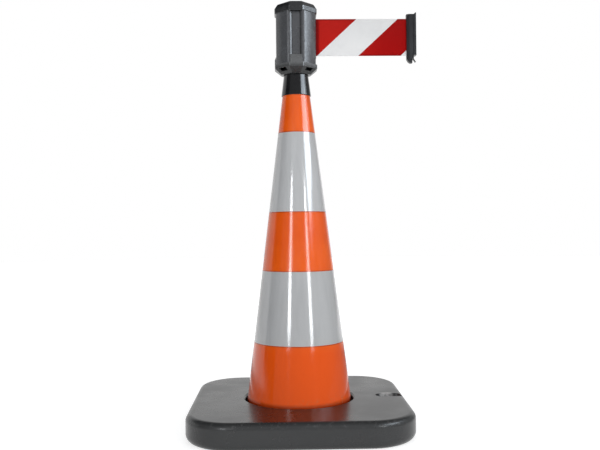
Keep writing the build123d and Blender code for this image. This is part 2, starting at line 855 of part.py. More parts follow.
spool_drum.part.label = "spool_drum"
export_step(spool_drum.part, "parts/spool_drum.step")

with BuildPart() as spool_flange:
    with BuildSketch(Plane.XY.offset(upper_flange_z)):
        Circle(spool_flange_r)
        Circle(hub_spigot_r + shaft_fit, mode=Mode.SUBTRACT)
    extrude(amount=spool_flange_t)

spool_flange.part.label = "spool_flange"
export_step(spool_flange.part, "parts/spool_flange.step")

with BuildPart() as belt_anchor:
    with BuildSketch(Plane.XY.offset(belt_z)):
        with Locations((0, anchor_pitch_r)):
            Circle(anchor_r)
    extrude(amount=belt_w)

belt_anchor.part.label = "belt_anchor"
export_step(belt_anchor.part, "parts/belt_anchor.step")

# Wound belt on the spool, its inner end looped round the anchor
with BuildPart() as belt_roll:
    with BuildSketch(Plane.XY.offset(belt_z)):
        Circle(roll_r)
        Circle(hub_r + roll_fit, mode=Mode.SUBTRACT)
        with Locations((0, anchor_pitch_r + slit_length / 2)):
            Rectangle(belt_t, slit_length)
        with Locations((0, anchor_pitch_r)):
            Circle(anchor_loop_r)
            Circle(anchor_loop_r - belt_t, mode=Mode.SUBTRACT)
    extrude(amount=belt_w)

belt_roll.part.label = "belt_roll"
export_step(belt_roll.part, "parts/belt_roll.step")

# Free belt: off the roll on a tangent, round the mouth's lip, out to a loop about the clip's rod
leave_r = roll_r + roll_gap + belt_t / 2
bend_x = face_half - mouth_bend_in
leave_angle = acos(leave_r / bend_x)
rod_loop_r = rod_r + loop_fit + belt_t

with BuildPart() as belt_web:
    with BuildSketch(Plane.XY.offset(belt_z)):
        with BuildLine():
            FilletPolyline(
                (leave_r * cos(leave_angle), -leave_r * sin(leave_angle)),
                (bend_x, 0),
                (rod_x - rod_loop_r + belt_t / 2, 0),
                radius=mouth_bend_r,
            )
        trace(line_width=belt_t)
        with Locations((rod_x, 0)):
            Circle(rod_loop_r)
            Circle(rod_loop_r - belt_t, mode=Mode.SUBTRACT)
    extrude(amount=belt_w)

belt_web.part.label = "belt_web"
export_step(belt_web.part, "parts/belt_web.step")

# Clip on the belt's end: a bar with a keyhole for the rod, a flange with a top lip, a tail and a spur
nose_x = clip_x + bar_nose_l
neck_x = clip_face_x - clip_neck_l
bar_outline = [
    (clip_x, -bar_nose_w / 2),
    (nose_x, -bar_w / 2),
    (neck_x, -bar_w / 2),
    (neck_x, -clip_neck_w / 2),
    (clip_face_x, -clip_neck_w / 2),
    (clip_face_x, clip_neck_w / 2),
    (neck_x, clip_neck_w / 2),
    (neck_x, bar_w / 2),
    (nose_x, bar_w / 2),
    (clip_x, bar_nose_w / 2),
]
lip_z = clip_top_z + clip_lip_h
clip_flange_outline = [
    (clip_face_x, belt_z),
    (clip_out_x, belt_z),
    (clip_out_x, lip_z),
    (clip_out_x - clip_lip_t, lip_z),
    (clip_face_x, clip_top_z),
]
tail_x = clip_face_x - tail_setback
tail_z = clip_z - tail_h
spur_x = clip_face_x + spur_reach
spur_z = clip_z - spur_drop
spur_outline = [
    (clip_face_x - spur_t, clip_z),
    (clip_face_x - spur_heel, clip_z - spur_heel),
    (spur_x - spur_tip, spur_z),
    (spur_x, spur_z + spur_tip),
    (clip_face_x, clip_z + spur_t),
    (clip_face_x - spur_t, clip_z + spur_t),
]

with BuildPart() as clip_body:
    with BuildSketch(Plane.XY.offset(clip_z)):
        Polygon(*bar_outline, align=None)
    extrude(amount=clip_top_z - clip_z)
    fillet(clip_body.edges().filter_by(Axis.Z).group_by(Axis.X)[0], clip_edge_r)
    with BuildSketch(Plane.XZ):
        Polygon(*clip_flange_outline, align=None)
    extrude(amount=bar_w / 2, both=True)
    fillet(clip_body.edges().filter_by(Axis.Z).group_by(Axis.X)[-1], clip_edge_r)
    # tail, rounded off below the nose
    with BuildSketch(Plane.XZ):
        with BuildLine():
            Line((clip_x + tail_h, tail_z), (tail_x, tail_z))
            Line((tail_x, tail_z), (tail_x, clip_z))
            Line((tail_x, clip_z), (clip_x + clip_edge_r, clip_z))
            RadiusArc((clip_x + clip_edge_r, clip_z), (clip_x + tail_h, tail_z), -tail_round_r)
        make_face()
    extrude(amount=tail_w / 2, both=True)
    # spur, hooked out and down from the bar's lower corner
    with BuildSketch(Plane.XZ):
        Polygon(*spur_outline, align=None)
    extrude(amount=spur_w / 2, both=True)
    # keyhole for the rod and the belt's loop, open at the top
    with BuildSketch(Plane.XY.offset(clip_z + rod_floor)):
        with Locations((rod_x, 0)):
            Circle(rod_bore_r)
        with Locations((clip_x + rod_inset / 2, 0)):
            Rectangle(rod_inset, rod_slit)
    extrude(amount=clip_top_z - clip_z - rod_floor, mode=Mode.SUBTRACT)

clip_body.part.label = "clip_body"
export_step(clip_body.part, "parts/clip_body.step")

with BuildPart() as clip_rod:
    with BuildSketch(Plane.XY.offset(clip_z + rod_floor)):
        with Locations((rod_x, 0)):
            Circle(rod_r)
    extrude(amount=clip_top_z - plug_h - clip_z - rod_floor)

clip_rod.part.label = "clip_rod"
export_step(clip_rod.part, "parts/clip_rod.step")

with BuildPart() as clip_plug:
    with BuildSketch(Plane.XY.offset(clip_top_z - plug_h)):
        with Locations((rod_x, 0)):
            Circle(rod_bore_r - plug_fit)
        with Locations((clip_x + rod_inset / 2, 0)):
            Rectangle(rod_inset, rod_slit - 2 * plug_fit)
    extrude(amount=plug_h)

clip_plug.part.label = "clip_plug"
export_step(clip_plug.part, "parts/clip_plug.step")
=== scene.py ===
import math

import bmesh
import bpy
from mathutils import Matrix, Vector


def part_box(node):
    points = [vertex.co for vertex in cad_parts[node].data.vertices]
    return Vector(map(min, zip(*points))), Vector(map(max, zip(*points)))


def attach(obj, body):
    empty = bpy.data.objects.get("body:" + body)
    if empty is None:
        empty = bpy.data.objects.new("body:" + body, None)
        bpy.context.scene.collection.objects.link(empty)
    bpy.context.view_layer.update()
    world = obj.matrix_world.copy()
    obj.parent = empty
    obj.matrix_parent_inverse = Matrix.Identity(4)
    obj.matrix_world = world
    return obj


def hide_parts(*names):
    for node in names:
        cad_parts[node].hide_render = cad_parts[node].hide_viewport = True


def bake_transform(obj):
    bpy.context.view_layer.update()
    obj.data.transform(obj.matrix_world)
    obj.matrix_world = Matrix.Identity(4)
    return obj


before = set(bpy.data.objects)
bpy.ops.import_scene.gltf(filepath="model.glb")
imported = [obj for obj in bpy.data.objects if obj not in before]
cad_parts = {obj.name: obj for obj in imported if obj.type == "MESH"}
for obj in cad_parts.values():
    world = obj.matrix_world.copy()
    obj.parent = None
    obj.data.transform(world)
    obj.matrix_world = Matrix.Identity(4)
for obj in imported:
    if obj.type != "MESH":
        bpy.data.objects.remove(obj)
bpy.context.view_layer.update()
scene = bpy.context.scene
scene.view_settings.view_transform = "Standard"
print("frame loaded:", len(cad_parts), "nodes")

# camera: just under half height, almost level, a hair to the left and tipped clockwise
cameraView = {
    "distance": 1.507,
    "height": 0.383,
    "around": -1.25,
    "aside": -0.19,
    "up": 0.454,
    "roll": -0.58,
    "lens": 44.77,
}


def addCamera(view):
    around = math.radians(view["around"])
    eye = Vector((math.sin(around), -math.cos(around), 0)) * view["distance"]
    eye.z = view["height"]
    turn = Matrix.Rotation(around + math.radians(view["aside"]), 4, "Z")
    tip = Matrix.Rotation(math.radians(90 + view["up"]), 4, "X")
    roll = Matrix.Rotation(math.radians(view["roll"]), 4, "Z")
    lens = bpy.data.cameras.new("camera")
    lens.lens = view["lens"]
    camera = bpy.data.objects.new("camera", lens)
    scene.collection.objects.link(camera)
    camera.matrix_world = Matrix.Translation(eye) @ turn @ tip @ roll
    scene.camera = camera


addCamera(cameraView)
print("camera set")

# studio: two strip boxes in front, three raised boxes on the right, a wide one overhead, and soft fills
softboxes = {
    "stripLeft": {"at": (-0.956, -1.987, 0.791), "aim": 0.506, "size": (0.28, 0.778), "watts": 10.8},
    "stripRight": {"at": (1.18, -1.85, 0.74), "aim": 0.49, "size": (0.27, 0.76), "watts": 9.4},
    "boxRight": {"at": (1.722, -1.017, 1.35), "aim": 0.6, "size": (1.22, 0.79), "watts": 28, "tilt": 15},
    "boxSide": {"at": (1.99, -0.21, 1.29), "aim": 0.6, "size": (0.8, 0.14), "watts": 1.7, "tilt": 12},
    "boxHigh": {"at": (1.98, -0.25, 1.5), "aim": 0.6, "size": (0.8, 0.2), "watts": 2.4, "tilt": 12},
    "fillRight": {"at": (5.85, -0.9, 1.9), "aim": 0.4, "size": (3.6, 2.7), "watts": 108},
    "fillFront": {"at": (0.0, -2.3, 1.45), "aim": 0.6, "size": (2.2, 1.5), "watts": 20.5},
    "boxTop": {"at": (0.1, 0.1, 2.5), "aim": 0.4, "size": (1.6, 1.6), "watts": 9},
}
glossOnly = ["boxRight", "boxSide", "boxHigh"]
softOnly = ["fillRight", "fillFront", "boxTop"]
lampTint = (0.95, 0.975, 1.0)
glossTint = (0.8, 0.9, 1.0)


def addSoftbox(name, box):
    lamp = bpy.data.lights.new(name, "AREA")
    lamp.shape = "RECTANGLE"
    lamp.size, lamp.size_y = box["size"]
    lamp.energy = box["watts"]
    lamp.color = glossTint if name in glossOnly else lampTint
    placed = bpy.data.objects.new(name, lamp)
    scene.collection.objects.link(placed)
    aim = Vector((0, 0, box["aim"])) - Vector(box["at"])  # at that height on the cone's axis
    turn = aim.to_track_quat("-Z", "Y").to_matrix().to_4x4()
    tilt = Matrix.Rotation(math.radians(box.get("tilt", 0)), 4, "Z")
    placed.matrix_world = Matrix.Translation(box["at"]) @ turn @ tilt
    placed.visible_camera = False
    placed.visible_diffuse = name not in glossOnly
    placed.visible_glossy = name not in softOnly


for name, box in softboxes.items():
    addSoftbox(name, box)


# looks: a noise is scale, detail and roughness; a range is from low, from high, to low and to high
def addNode(tree, kind, inputs=None, **settings):
    made = tree.nodes.new("ShaderNode" + kind)
    for key, value in settings.items():
        setattr(made, key, value)
    for key, value in (inputs or {}).items():
        if isinstance(value, bpy.types.NodeSocket):
            tree.links.new(value, made.inputs[key])
        else:
            made.inputs[key].default_value = value
    return made


def maths(tree, operation, first, second=0.0):
    return addNode(tree, "Math", {0: first, 1: second}, operation=operation).outputs[0]


def vectorMaths(tree, operation, first, second=(0, 0, 0)):
    made = addNode(tree, "VectorMath", {0: first, 1: second}, operation=operation)
    return made.outputs["Value" if operation == "LENGTH" else "Vector"]


def apartFrom(tree, value, middle):
    return maths(tree, "ABSOLUTE", maths(tree, "SUBTRACT", value, middle))


def leaning(tree, value, aside, slope):
    return maths(tree, "SUBTRACT", value, maths(tree, "MULTIPLY", aside, slope))


def zigzag(tree, value):
    return maths(tree, "PINGPONG", value, 0.5)  # up and down once in each whole number


def ranged(tree, value, low, high, toLow=0.0, toHigh=1.0, curve="SMOOTHSTEP"):
    limits = {"From Min": low, "From Max": high, "To Min": toLow, "To Max": toHigh}
    return addNode(tree, "MapRange", {"Value": value, **limits}, interpolation_type=curve).outputs[0]


def noise(tree, vector, scale, detail=3.0, rough=0.5):
    inputs = {"Vector": vector, "Scale": scale, "Detail": detail, "Roughness": rough}
    return addNode(tree, "TexNoise", inputs).outputs["Fac"]


def blendColours(tree, share, first, second):
    return addNode(tree, "Mix", {0: share, 6: first, 7: second}, data_type="RGBA").outputs[2]


def stretched(tree, vector, scale):
    return addNode(tree, "Mapping", {"Vector": vector, "Scale": scale}).outputs["Vector"]


def axes(tree, vector):
    return addNode(tree, "SeparateXYZ", {"Vector": vector}).outputs


# surround: dim room with a dark panel on the left and a white backdrop that stands askew behind
backdropLean = 0.42
surround = {
    "front": 0.3,
    "panel": 0.04,
    "panelFront": (-0.5, -0.46),
    "panelSide": (-0.24, -0.36),
    "above": (0.3, 0.95, 0, -0.05),
    "behind": (0.47, 0.55),
    "topLean": 0.3,
    "topFade": (0.62, 0.72, 1.0, 0),
}


def addSurround(look):
    world = bpy.data.worlds.new("studio")
    world.use_nodes = True
    scene.world = world
    tree = world.node_tree
    background = tree.nodes["Background"]
    towards = axes(tree, addNode(tree, "TexCoord").outputs["Generated"])
    panelFront = ranged(tree, towards["Y"], *look["panelFront"])
    panelSide = ranged(tree, towards["X"], *look["panelSide"])
    panel = maths(tree, "MULTIPLY", panelFront, panelSide)
    level = ranged(tree, panel, 0, 1, look["front"], look["panel"])
    level = maths(tree, "ADD", level, ranged(tree, towards["Z"], *look["above"]))
    askew = leaning(tree, towards["Y"], towards["X"], backdropLean)
    top = leaning(tree, towards["Z"], towards["X"], look["topLean"])
    behind = ranged(tree, askew, *look["behind"])
    backdrop = maths(tree, "MULTIPLY", behind, ranged(tree, top, *look["topFade"]))
    level = maths(tree, "MAXIMUM", level, backdrop)
    seen = addNode(tree, "LightPath").outputs["Is Camera Ray"]
    tree.links.new(maths(tree, "MAXIMUM", level, seen), background.inputs["Strength"])
    background.inputs["Color"].default_value = (1, 1, 1, 1)


addSurround(surround)
print("lights set")


def startMaterial(name, **sockets):
    material = bpy.data.materials.new(name)
    material.use_nodes = True
    tree = material.node_tree
    shader = tree.nodes["Principled BSDF"]
    for key, value in sockets.items():
        shader.inputs[key.replace("_", " ")].default_value = value
    return material, tree, shader, addNode(tree, "TexCoord").outputs["Object"]


def finishMaterial(tree, shader, colour, roughness, heights):
    tree.links.new(colour, shader.inputs["Base Color"])
    tree.links.new(roughness, shader.inputs["Roughness"])
    normal = None
    for height, depth in heights:
        inputs = {"Height": height, "Distance": depth, "Strength": 1.0}
        if normal:
            inputs["Normal"] = normal
        normal = addNode(tree, "Bump", inputs).outputs["Normal"]
    tree.links.new(normal, shader.inputs["Normal"])


def dress(material, *names):
    for name in names:
        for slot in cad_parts[name].material_slots:
            slot.material = material


def uprightSpan(name):
    low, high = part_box(name)
    return (low[2] + high[2]) / 2, (high[2] - low[2]) / 2


# base: semi-gloss moulded rubber, its sides painted paler than its top as painted light, scuffed on its
# rounded rim, with a painted highlight behind the grip
base = {
    "dark": (0.01, 0.0104, 0.011, 1),
    "pale": (0.014, 0.0145, 0.015, 1),
    "dustAndSideLight": (0.04, 0.0405, 0.041, 1),
    "scuff": (0.085, 0.085, 0.084, 1),
    # painted highlight behind the grip
    "paintedLight": (0.34, 0.34, 0.335, 1),
    "specular": 0.32,
    "roughness": (0.24, 0.33),
    "wornRough": 0.3,
    "side": 0.2125,
    "corner": 0.09,
    "rim": 0.012,
    "height": 0.05,
    "anyHeight": 9,
    "cloud": (9, 5, 0.6),
    "cloudRange": (0.3, 0.7),
    "dustAndSideLightRange": (0.4, 1.1, 1, 0),
    "chips": (130, 6, 0.6),
    "chipRange": (0.52, 0.7),
    "drags": (2.0, 5, 0.6),
    "dragStretch": (14, 110, 30),
    "dragRange": (0.62, 0.8, 0, 0.3),
    "grip": (0.177, 0.016, 0.046),
    "gripStretch": (1, 2, 2),
    "gripRange": (0.009, 0.018, 1, 0),
    "patches": (170, 5, 0.6),
    "patchRange": (0.3, 0.6, 0.35, 1),
    "wave": (16, 2),
    "waveDepth": 0.00012,
    "lines": (7, 3, 0.6),
    "lineStretch": (1, 1, 60),
    "lineDepth": 0.00002,
    "grain": (1100, 2),
    "grainDepth": 0.000006,
}


def baseMaterial(look):
    material, tree, shader, place = startMaterial("baseRubber", Specular_IOR_Level=look["specular"])
    # how far out, seen from above, and how far up on the rounded rim
    flat = look["side"] - look["corner"]
    apart = vectorMaths(tree, "ABSOLUTE", place)
    apart = vectorMaths(tree, "SUBTRACT", apart, (flat, flat, look["anyHeight"]))
    outward = vectorMaths(tree, "LENGTH", vectorMaths(tree, "MAXIMUM", apart))
    outward = ranged(tree, outward, look["corner"] - look["rim"], look["corner"], curve="LINEAR")
    high = axes(tree, place)["Z"]
    upward = ranged(tree, high, look["height"] - look["rim"], look["height"], curve="LINEAR")
    chips = ranged(tree, noise(tree, place, *look["chips"]), *look["chipRange"])
    rim = maths(tree, "MULTIPLY", maths(tree, "MULTIPLY", outward, upward), chips)
    drags = noise(tree, stretched(tree, place, look["dragStretch"]), *look["drags"])
    worn = maths(tree, "MAXIMUM", rim, ranged(tree, drags, *look["dragRange"]))
    cloud = noise(tree, place, *look["cloud"])
    colour = blendColours(tree, ranged(tree, cloud, *look["cloudRange"]), look["dark"], look["pale"])
    # painted light: the sides and the lower part of the rim painted paler than the top
    colour = blendColours(tree, ranged(tree, upward, *look["dustAndSideLightRange"]), colour, look["dustAndSideLight"])
    colour = blendColours(tree, worn, colour, look["scuff"])
    # painted highlight: a pale patch on the far wall behind the grip
    beside = vectorMaths(tree, "SUBTRACT", place, look["grip"])
    beside = vectorMaths(tree, "LENGTH", stretched(tree, beside, look["gripStretch"]))
    patches = ranged(tree, noise(tree, place, *look["patches"]), *look["patchRange"])
    paintedLight = maths(tree, "MULTIPLY", ranged(tree, beside, *look["gripRange"]), patches)
    colour = blendColours(tree, paintedLight, colour, look["paintedLight"])
    roughness = ranged(tree, cloud, *look["cloudRange"], *look["roughness"])
    roughness = maths(tree, "ADD", roughness, maths(tree, "MULTIPLY", worn, look["wornRough"]))
    lines = noise(tree, stretched(tree, place, look["lineStretch"]), *look["lines"])
    heights = [
        (noise(tree, place, *look["wave"]), look["waveDepth"]),
        (lines, look["lineDepth"]),
        (noise(tree, place, *look["grain"]), look["grainDepth"]),
    ]
    finishMaterial(tree, shader, colour, roughness, heights)
    return material


dress(baseMaterial(base), "base_weight")

# cone: glossy orange, with faint drawn streaks and road dust low down; painted shade on its foot, where it
# goes into the base and in a thin line where the sleeves end
cone = {
    "orange": (0.84, 0.116, 0.007, 1),
    "deep": (0.77, 0.09, 0.005, 1),
    "dustAndSideLight": (0.42, 0.16, 0.06, 1),
    "foot": (0.8, 0.09, 0.005, 1),
    "shadow": (0.3, 0.03, 0.004, 1),
    "shadeTone": (0.45, 0.065, 0.012, 1),
    "sleeves": ("lower_sleeve", "upper_sleeve"),
    "roughness": (0.12, 0.22),
    "dustRough": 0.5,
    "footTop": (0.145, 0.165),
    "footGloss": -0.08,
    "cloud": (13, 4),
    "cloudRange": (0.35, 0.7),
    "streaks": (170, 4, 0.6),
    "streakStretch": (1, 1, 0.03),
    "streakRange": (0.3, 0.75),
    "dustRise": (0.075, 0.05),
    "dustCloud": (90, 6, 0.65),
    "dustAndSideLightRange": (0.5, 0.75, 0, 0.5),
    "nicks": (310, 2),
    "nickStretch": (1, 1, 0.35),
    "nickRange": (0.74, 0.79, 0, 0.35),
    "shadowRise": (0.0575, 0.0495, 0, 0.85),
    "shadeLine": (0.0012, 0.0032, 0.85),
    "wave": (24, 2),
    "waveDepth": 0.0001,
    "grain": (420, 2),
    "grainDepth": 0.000012,
}


def coneMaterial(look):
    material, tree, shader, place = startMaterial("coneOrange")
    streaks = noise(tree, stretched(tree, place, look["streakStretch"]), *look["streaks"])
    cloud = noise(tree, place, *look["cloud"])
    high = axes(tree, place)["Z"]
    dustAndSideLight = ranged(tree, noise(tree, place, *look["dustCloud"]), *look["dustAndSideLightRange"])
    dustAndSideLight = maths(tree, "MULTIPLY", ranged(tree, high, *look["dustRise"]), dustAndSideLight)
    nicks = noise(tree, stretched(tree, place, look["nickStretch"]), *look["nicks"])
    nicks = ranged(tree, nicks, *look["nickRange"])
    colour = blendColours(tree, ranged(tree, cloud, *look["cloudRange"]), look["orange"], look["deep"])
    # painted shade: the foot below the lower sleeve painted a darker orange
    colour = blendColours(tree, ranged(tree, high, *look["footTop"]), look["foot"], colour)
    colour = blendColours(tree, maths(tree, "MAXIMUM", dustAndSideLight, nicks), colour, look["dustAndSideLight"])
    # painted shadow: darker where it goes down into the base
    colour = blendColours(tree, ranged(tree, high, *look["shadowRise"]), colour, look["shadow"])
    # painted shade: a thin dark line where each sleeve ends
    near, far, share = look["shadeLine"]
    for name in look["sleeves"]:
        middle, half = uprightSpan(name)
        shadeTone = ranged(tree, apartFrom(tree, high, middle), half + near, half + far, share, 0)
        colour = blendColours(tree, shadeTone, colour, look["shadeTone"])
    roughness = ranged(tree, streaks, *look["streakRange"], *look["roughness"])
    roughness = maths(tree, "ADD", roughness, maths(tree, "MULTIPLY", dustAndSideLight, look["dustRough"]))
    foot = ranged(tree, high, *look["footTop"], look["footGloss"], 0)
    roughness = maths(tree, "ADD", roughness, foot)
    heights = [
        (noise(tree, place, *look["wave"]), look["waveDepth"]),
        (noise(tree, place, *look["grain"]), look["grainDepth"]),
    ]
    finishMaterial(tree, shader, colour, roughness, heights)
    return material


dress(coneMaterial(cone), "cone_shell")

# sleeves: silver film with a fine lattice of cells under a clear face; the lower sleeve painted darker as
# painted shade, and a painted highlight along the cut edges
sleeve = {
    "film": (0.518, 0.52, 0.524),
    "shade": (0.465, 0.467, 0.472),
    "line": (0.465, 0.467, 0.472),
    "edgeHighlight": (0.6, 0.57, 0.55, 1),
    "paintedShade": {"lower_sleeve": 0.92, "upper_sleeve": 0.99},
    "metallic": 0.03,
    "specular": 0.75,
    "roughness": (0.07, 0.12),
    "roughCloud": (40, 4),
    "roughRange": (0.3, 0.7),
    "cellsRound": 150,
    "cellsPerMetre": 380,
    "cellLine": (0.0, 0.11),
    "cellDepth": 0.000006,
    "streaks": (60, 4, 0.55),
    "streakStretch": (1, 1, 0.05),
    "streakRange": (0.4, 0.72),
    "highlightWidth": 0.0016,
    "highlightShare": 0.4,
    "wave": (34, 3),
    "waveStretch": (1, 1, 0.6),
    "waveDepth": 0.00016,
}


def filmMaterial(name, look):
    sockets = {"Metallic": look["metallic"], "Specular_IOR_Level": look["specular"]}
    material, tree, shader, place = startMaterial(name + "Film", **sockets)
    middle, half = uprightSpan(name)
    where = axes(tree, place)
    angle = maths(tree, "ARCTAN2", where["Y"], where["X"])
    across = maths(tree, "MULTIPLY", angle, look["cellsRound"] / math.tau)
    along = maths(tree, "MULTIPLY", where["Z"], look["cellsPerMetre"])
    rising = zigzag(tree, maths(tree, "ADD", across, along))
    falling = zigzag(tree, maths(tree, "SUBTRACT", across, along))
    cell = ranged(tree, maths(tree, "MINIMUM", rising, falling), *look["cellLine"])
    streaks = noise(tree, stretched(tree, place, look["streakStretch"]), *look["streaks"])
    streaks = ranged(tree, streaks, *look["streakRange"])
    # painted shade: each sleeve's colours scaled darker, the lower sleeve most
    shadedTones = {}
    for part in ("film", "shade", "line"):
        shadedTones[part] = [v * look["paintedShade"][name] for v in look[part]] + [1]
    colour = blendColours(tree, streaks, shadedTones["film"], shadedTones["shade"])
    colour = blendColours(tree, cell, shadedTones["line"], colour)
    # painted highlight: a lighter, warmer band along the film's top and bottom edges
    outer = apartFrom(tree, where["Z"], middle)
    edgeGlint = ranged(tree, outer, half - look["highlightWidth"], half, 0, look["highlightShare"])
    colour = blendColours(tree, edgeGlint, colour, look["edgeHighlight"])
    roughness = noise(tree, place, *look["roughCloud"])
    roughness = ranged(tree, roughness, *look["roughRange"], *look["roughness"])
    wave = noise(tree, stretched(tree, place, look["waveStretch"]), *look["wave"])
    heights = [(wave, look["waveDepth"]), (cell, look["cellDepth"])]
    finishMaterial(tree, shader, colour, roughness, heights)
    return material


for name in cone["sleeves"]:
    dress(filmMaterial(name, sleeve), name)

# moulded plastics: spark-eroded grain, rubbed patches and fine scratches; painted light on the cup's
# keepers and rim sides, and painted shade in the receivers' corners
moulded = {
    "specular": 0.5,
    "cloud": (26, 4, 0.6),
    "cloudRange": (0.32, 0.7),
    "hairs": (620, 3, 0.6),
    "hairStretch": (1, 1, 0.06),
    "hairRange": (0.7, 0.8, 0, 0.14),
    "lift": 2.4,
    "roughCloud": (70, 4),
    "roughRange": (0.3, 0.7),
    "wave": (45, 2),
    "waveDepth": 0.00006,
    "grain": (1500, 2),
    "grainDepth": 0.00002,
    "wearCloud": (160, 4, 0.6),
    "wearRange": (0.3, 0.7),
    "wearLeast": 1 / 3,
}
collar = {
    "dark": (0.008, 0.008, 0.009, 1),
    "pale": (0.013, 0.013, 0.014, 1),
    "roughness": (0.1, 0.18),
    "grainDepth": 0.000006,
}
drum = {
    "dark": (0.066, 0.068, 0.072, 1),
    "pale": (0.082, 0.084, 0.09, 1),
    "roughness": (0.22, 0.3),
    "corner": (0.03975, 0.03975),
    "wear": (0.0016, 0.0005, 0.35),
    # painted shade down the receivers' corners
    "shadeTone": (0.012, 0.0115, 0.0105, 1),
    "dirt": (0.0072, 0.0096, 0.95),
    "dirtCore": 0.0002,
    "dirtSkin": 0.0006,
    "dirtCloud": (90, 4),
    "dirtRange": (0.3, 0.6),
    "dirtLeast": 1 / 2,
    "faceHalf": 0.01646,
    "crown": 5.6,
    "flare": (0.0085, 0.0117, 0.0006, 0),
}
cup = {
    "dark": (0.044, 0.045, 0.045, 1),
    "pale": (0.054, 0.055, 0.056, 1),
    "roughness": (0.24, 0.32),
    "corner": (0.0425, 0.04),
    "wear": (0.0016, 0.0005, 0.45),
    "wornLines": (0.7085, 0.716),
    "lineRange": (0.0003, 0.001, 1, 0),
    # painted light: lighter from the underside's edge up over the keepers and rim sides
    "paintedLight": (0.7085, 0.7165, 0, 0.8),
}
cap = {
    "dark": (0.018, 0.019, 0.0205, 1),
    "pale": (0.024, 0.025, 0.0265, 1),
    "specular": 0.85,
    "roughness": (0.16, 0.24),
    "grainDepth": 0.000012,
    "corner": (0.0425, 0.04),
    "wear": (0.0012, 0.0004, 0.4),
}
guide = {
    "dark": (0.02, 0.02, 0.022, 1),
    "pale": (0.03, 0.03, 0.032, 1),
    "roughness": (0.28, 0.4),
}
clip = {
    "dark": (0.008, 0.008, 0.01, 1),
    "pale": (0.012, 0.012, 0.015, 1),
    "roughness": (0.3, 0.42),
}
nylon = {
    "dark": (0.62, 0.6, 0.54, 1),
    "pale": (0.7, 0.68, 0.62, 1),
    "roughness": (0.35, 0.5),
}


def faceReach(tree, place):
    # on an eight-sided piece, how far out a point is towards the square faces and the slanted ones
    sides = axes(tree, vectorMaths(tree, "ABSOLUTE", place))
    square = maths(tree, "MAXIMUM", sides["X"], sides["Y"])
    slanted = maths(tree, "MULTIPLY", maths(tree, "ADD", sides["X"], sides["Y"]), math.sqrt(0.5))
    return sides, square, slanted


def edgeWear(tree, place, look):
    # upright edges of the drum and of its stepped rims, and the level lines round them
    sides, square, slanted = faceReach(tree, place)
    half, across = look["corner"]
    wide, fine, share = look["wear"]
    square = maths(tree, "SUBTRACT", square, half)
    slanted = maths(tree, "SUBTRACT", slanted, across)
    worn = ranged(tree, maths(tree, "MINIMUM", square, slanted), -wide, -fine)
    for height in look.get("wornLines", ()):
        line = ranged(tree, apartFrom(tree, sides["Z"], height), *look["lineRange"])
        worn = maths(tree, "MAXIMUM", worn, line)
    patchy = noise(tree, place, *look["wearCloud"])
    patchy = ranged(tree, patchy, *look["wearRange"], share * look["wearLeast"], share)
    return maths(tree, "MULTIPLY", worn, patchy)


def drumRelief(tree, place, look):
    # side faces a little crowned, and the flares of the receivers eased
    sides, square, slanted = faceReach(tree, place)
    across = maths(tree, "MULTIPLY", maths(tree, "SUBTRACT", sides["X"], sides["Y"]), math.sqrt(0.5))
    crown = maths(tree, "SUBTRACT", look["faceHalf"] ** 2, maths(tree, "MULTIPLY", across, across))
    crown = maths(tree, "MULTIPLY", crown, look["crown"])
    beside = maths(tree, "MINIMUM", sides["X"], sides["Y"])
    ease = ranged(tree, beside, *look["flare"], curve="LINEAR")
    turned = maths(tree, "GREATER_THAN", slanted, square)
    return addNode(tree, "Mix", {0: turned, 2: ease, 3: crown}).outputs[0]


def channelShade(tree, place, look):
    # painted shade down the corners of the receivers
    sides, square = faceReach(tree, place)[:2]
    beside = maths(tree, "MINIMUM", sides["X"], sides["Y"])
    low, high, share = look["dirt"]
    middle = (low + high) / 2
    face = look["corner"][0]
    inside = ranged(tree, square, face - look["dirtSkin"], face, 1, 0)
    paintedShade = ranged(tree, apartFrom(tree, beside, middle), look["dirtCore"], high - middle, 1, 0)
    paintedShade = maths(tree, "MULTIPLY", paintedShade, inside)
    patchy = noise(tree, place, *look["dirtCloud"])
    patchy = ranged(tree, patchy, *look["dirtRange"], share * look["dirtLeast"], share)
    return maths(tree, "MULTIPLY", paintedShade, patchy)


def plasticMaterial(name, pieceLook):
    look = {**moulded, **pieceLook}
    material, tree, shader, place = startMaterial(name, Specular_IOR_Level=look["specular"])
    cloud = noise(tree, place, *look["cloud"])
    hairs = noise(tree, stretched(tree, place, look["hairStretch"]), *look["hairs"])
    wearAndPaintedLight = ranged(tree, hairs, *look["hairRange"])
    if "corner" in look:
        wearAndPaintedLight = maths(tree, "MAXIMUM", wearAndPaintedLight, edgeWear(tree, place, look))
    # painted light: the cup's keepers and rim sides lighter than its underside
    if "paintedLight" in look:
        upperLight = ranged(tree, axes(tree, place)["Z"], *look["paintedLight"])
        wearAndPaintedLight = maths(tree, "MAXIMUM", wearAndPaintedLight, upperLight)
    lifted = [min(1, v * look["lift"]) for v in look["pale"][:3]] + [1]
    colour = blendColours(tree, ranged(tree, cloud, *look["cloudRange"]), look["dark"], look["pale"])
    colour = blendColours(tree, wearAndPaintedLight, colour, lifted)
    # painted shade in the receivers' corners
    if "dirt" in look:
        colour = blendColours(tree, channelShade(tree, place, look), colour, look["shadeTone"])
    roughness = noise(tree, place, *look["roughCloud"])
    roughness = ranged(tree, roughness, *look["roughRange"], *look["roughness"])
    heights = [
        (noise(tree, place, *look["wave"]), look["waveDepth"]),
        (noise(tree, place, *look["grain"]), look["grainDepth"]),
    ]
    if "crown" in look:
        heights.append((drumRelief(tree, place, look), 1.0))  # the relief is in metres already
    finishMaterial(tree, shader, colour, roughness, heights)
    return material


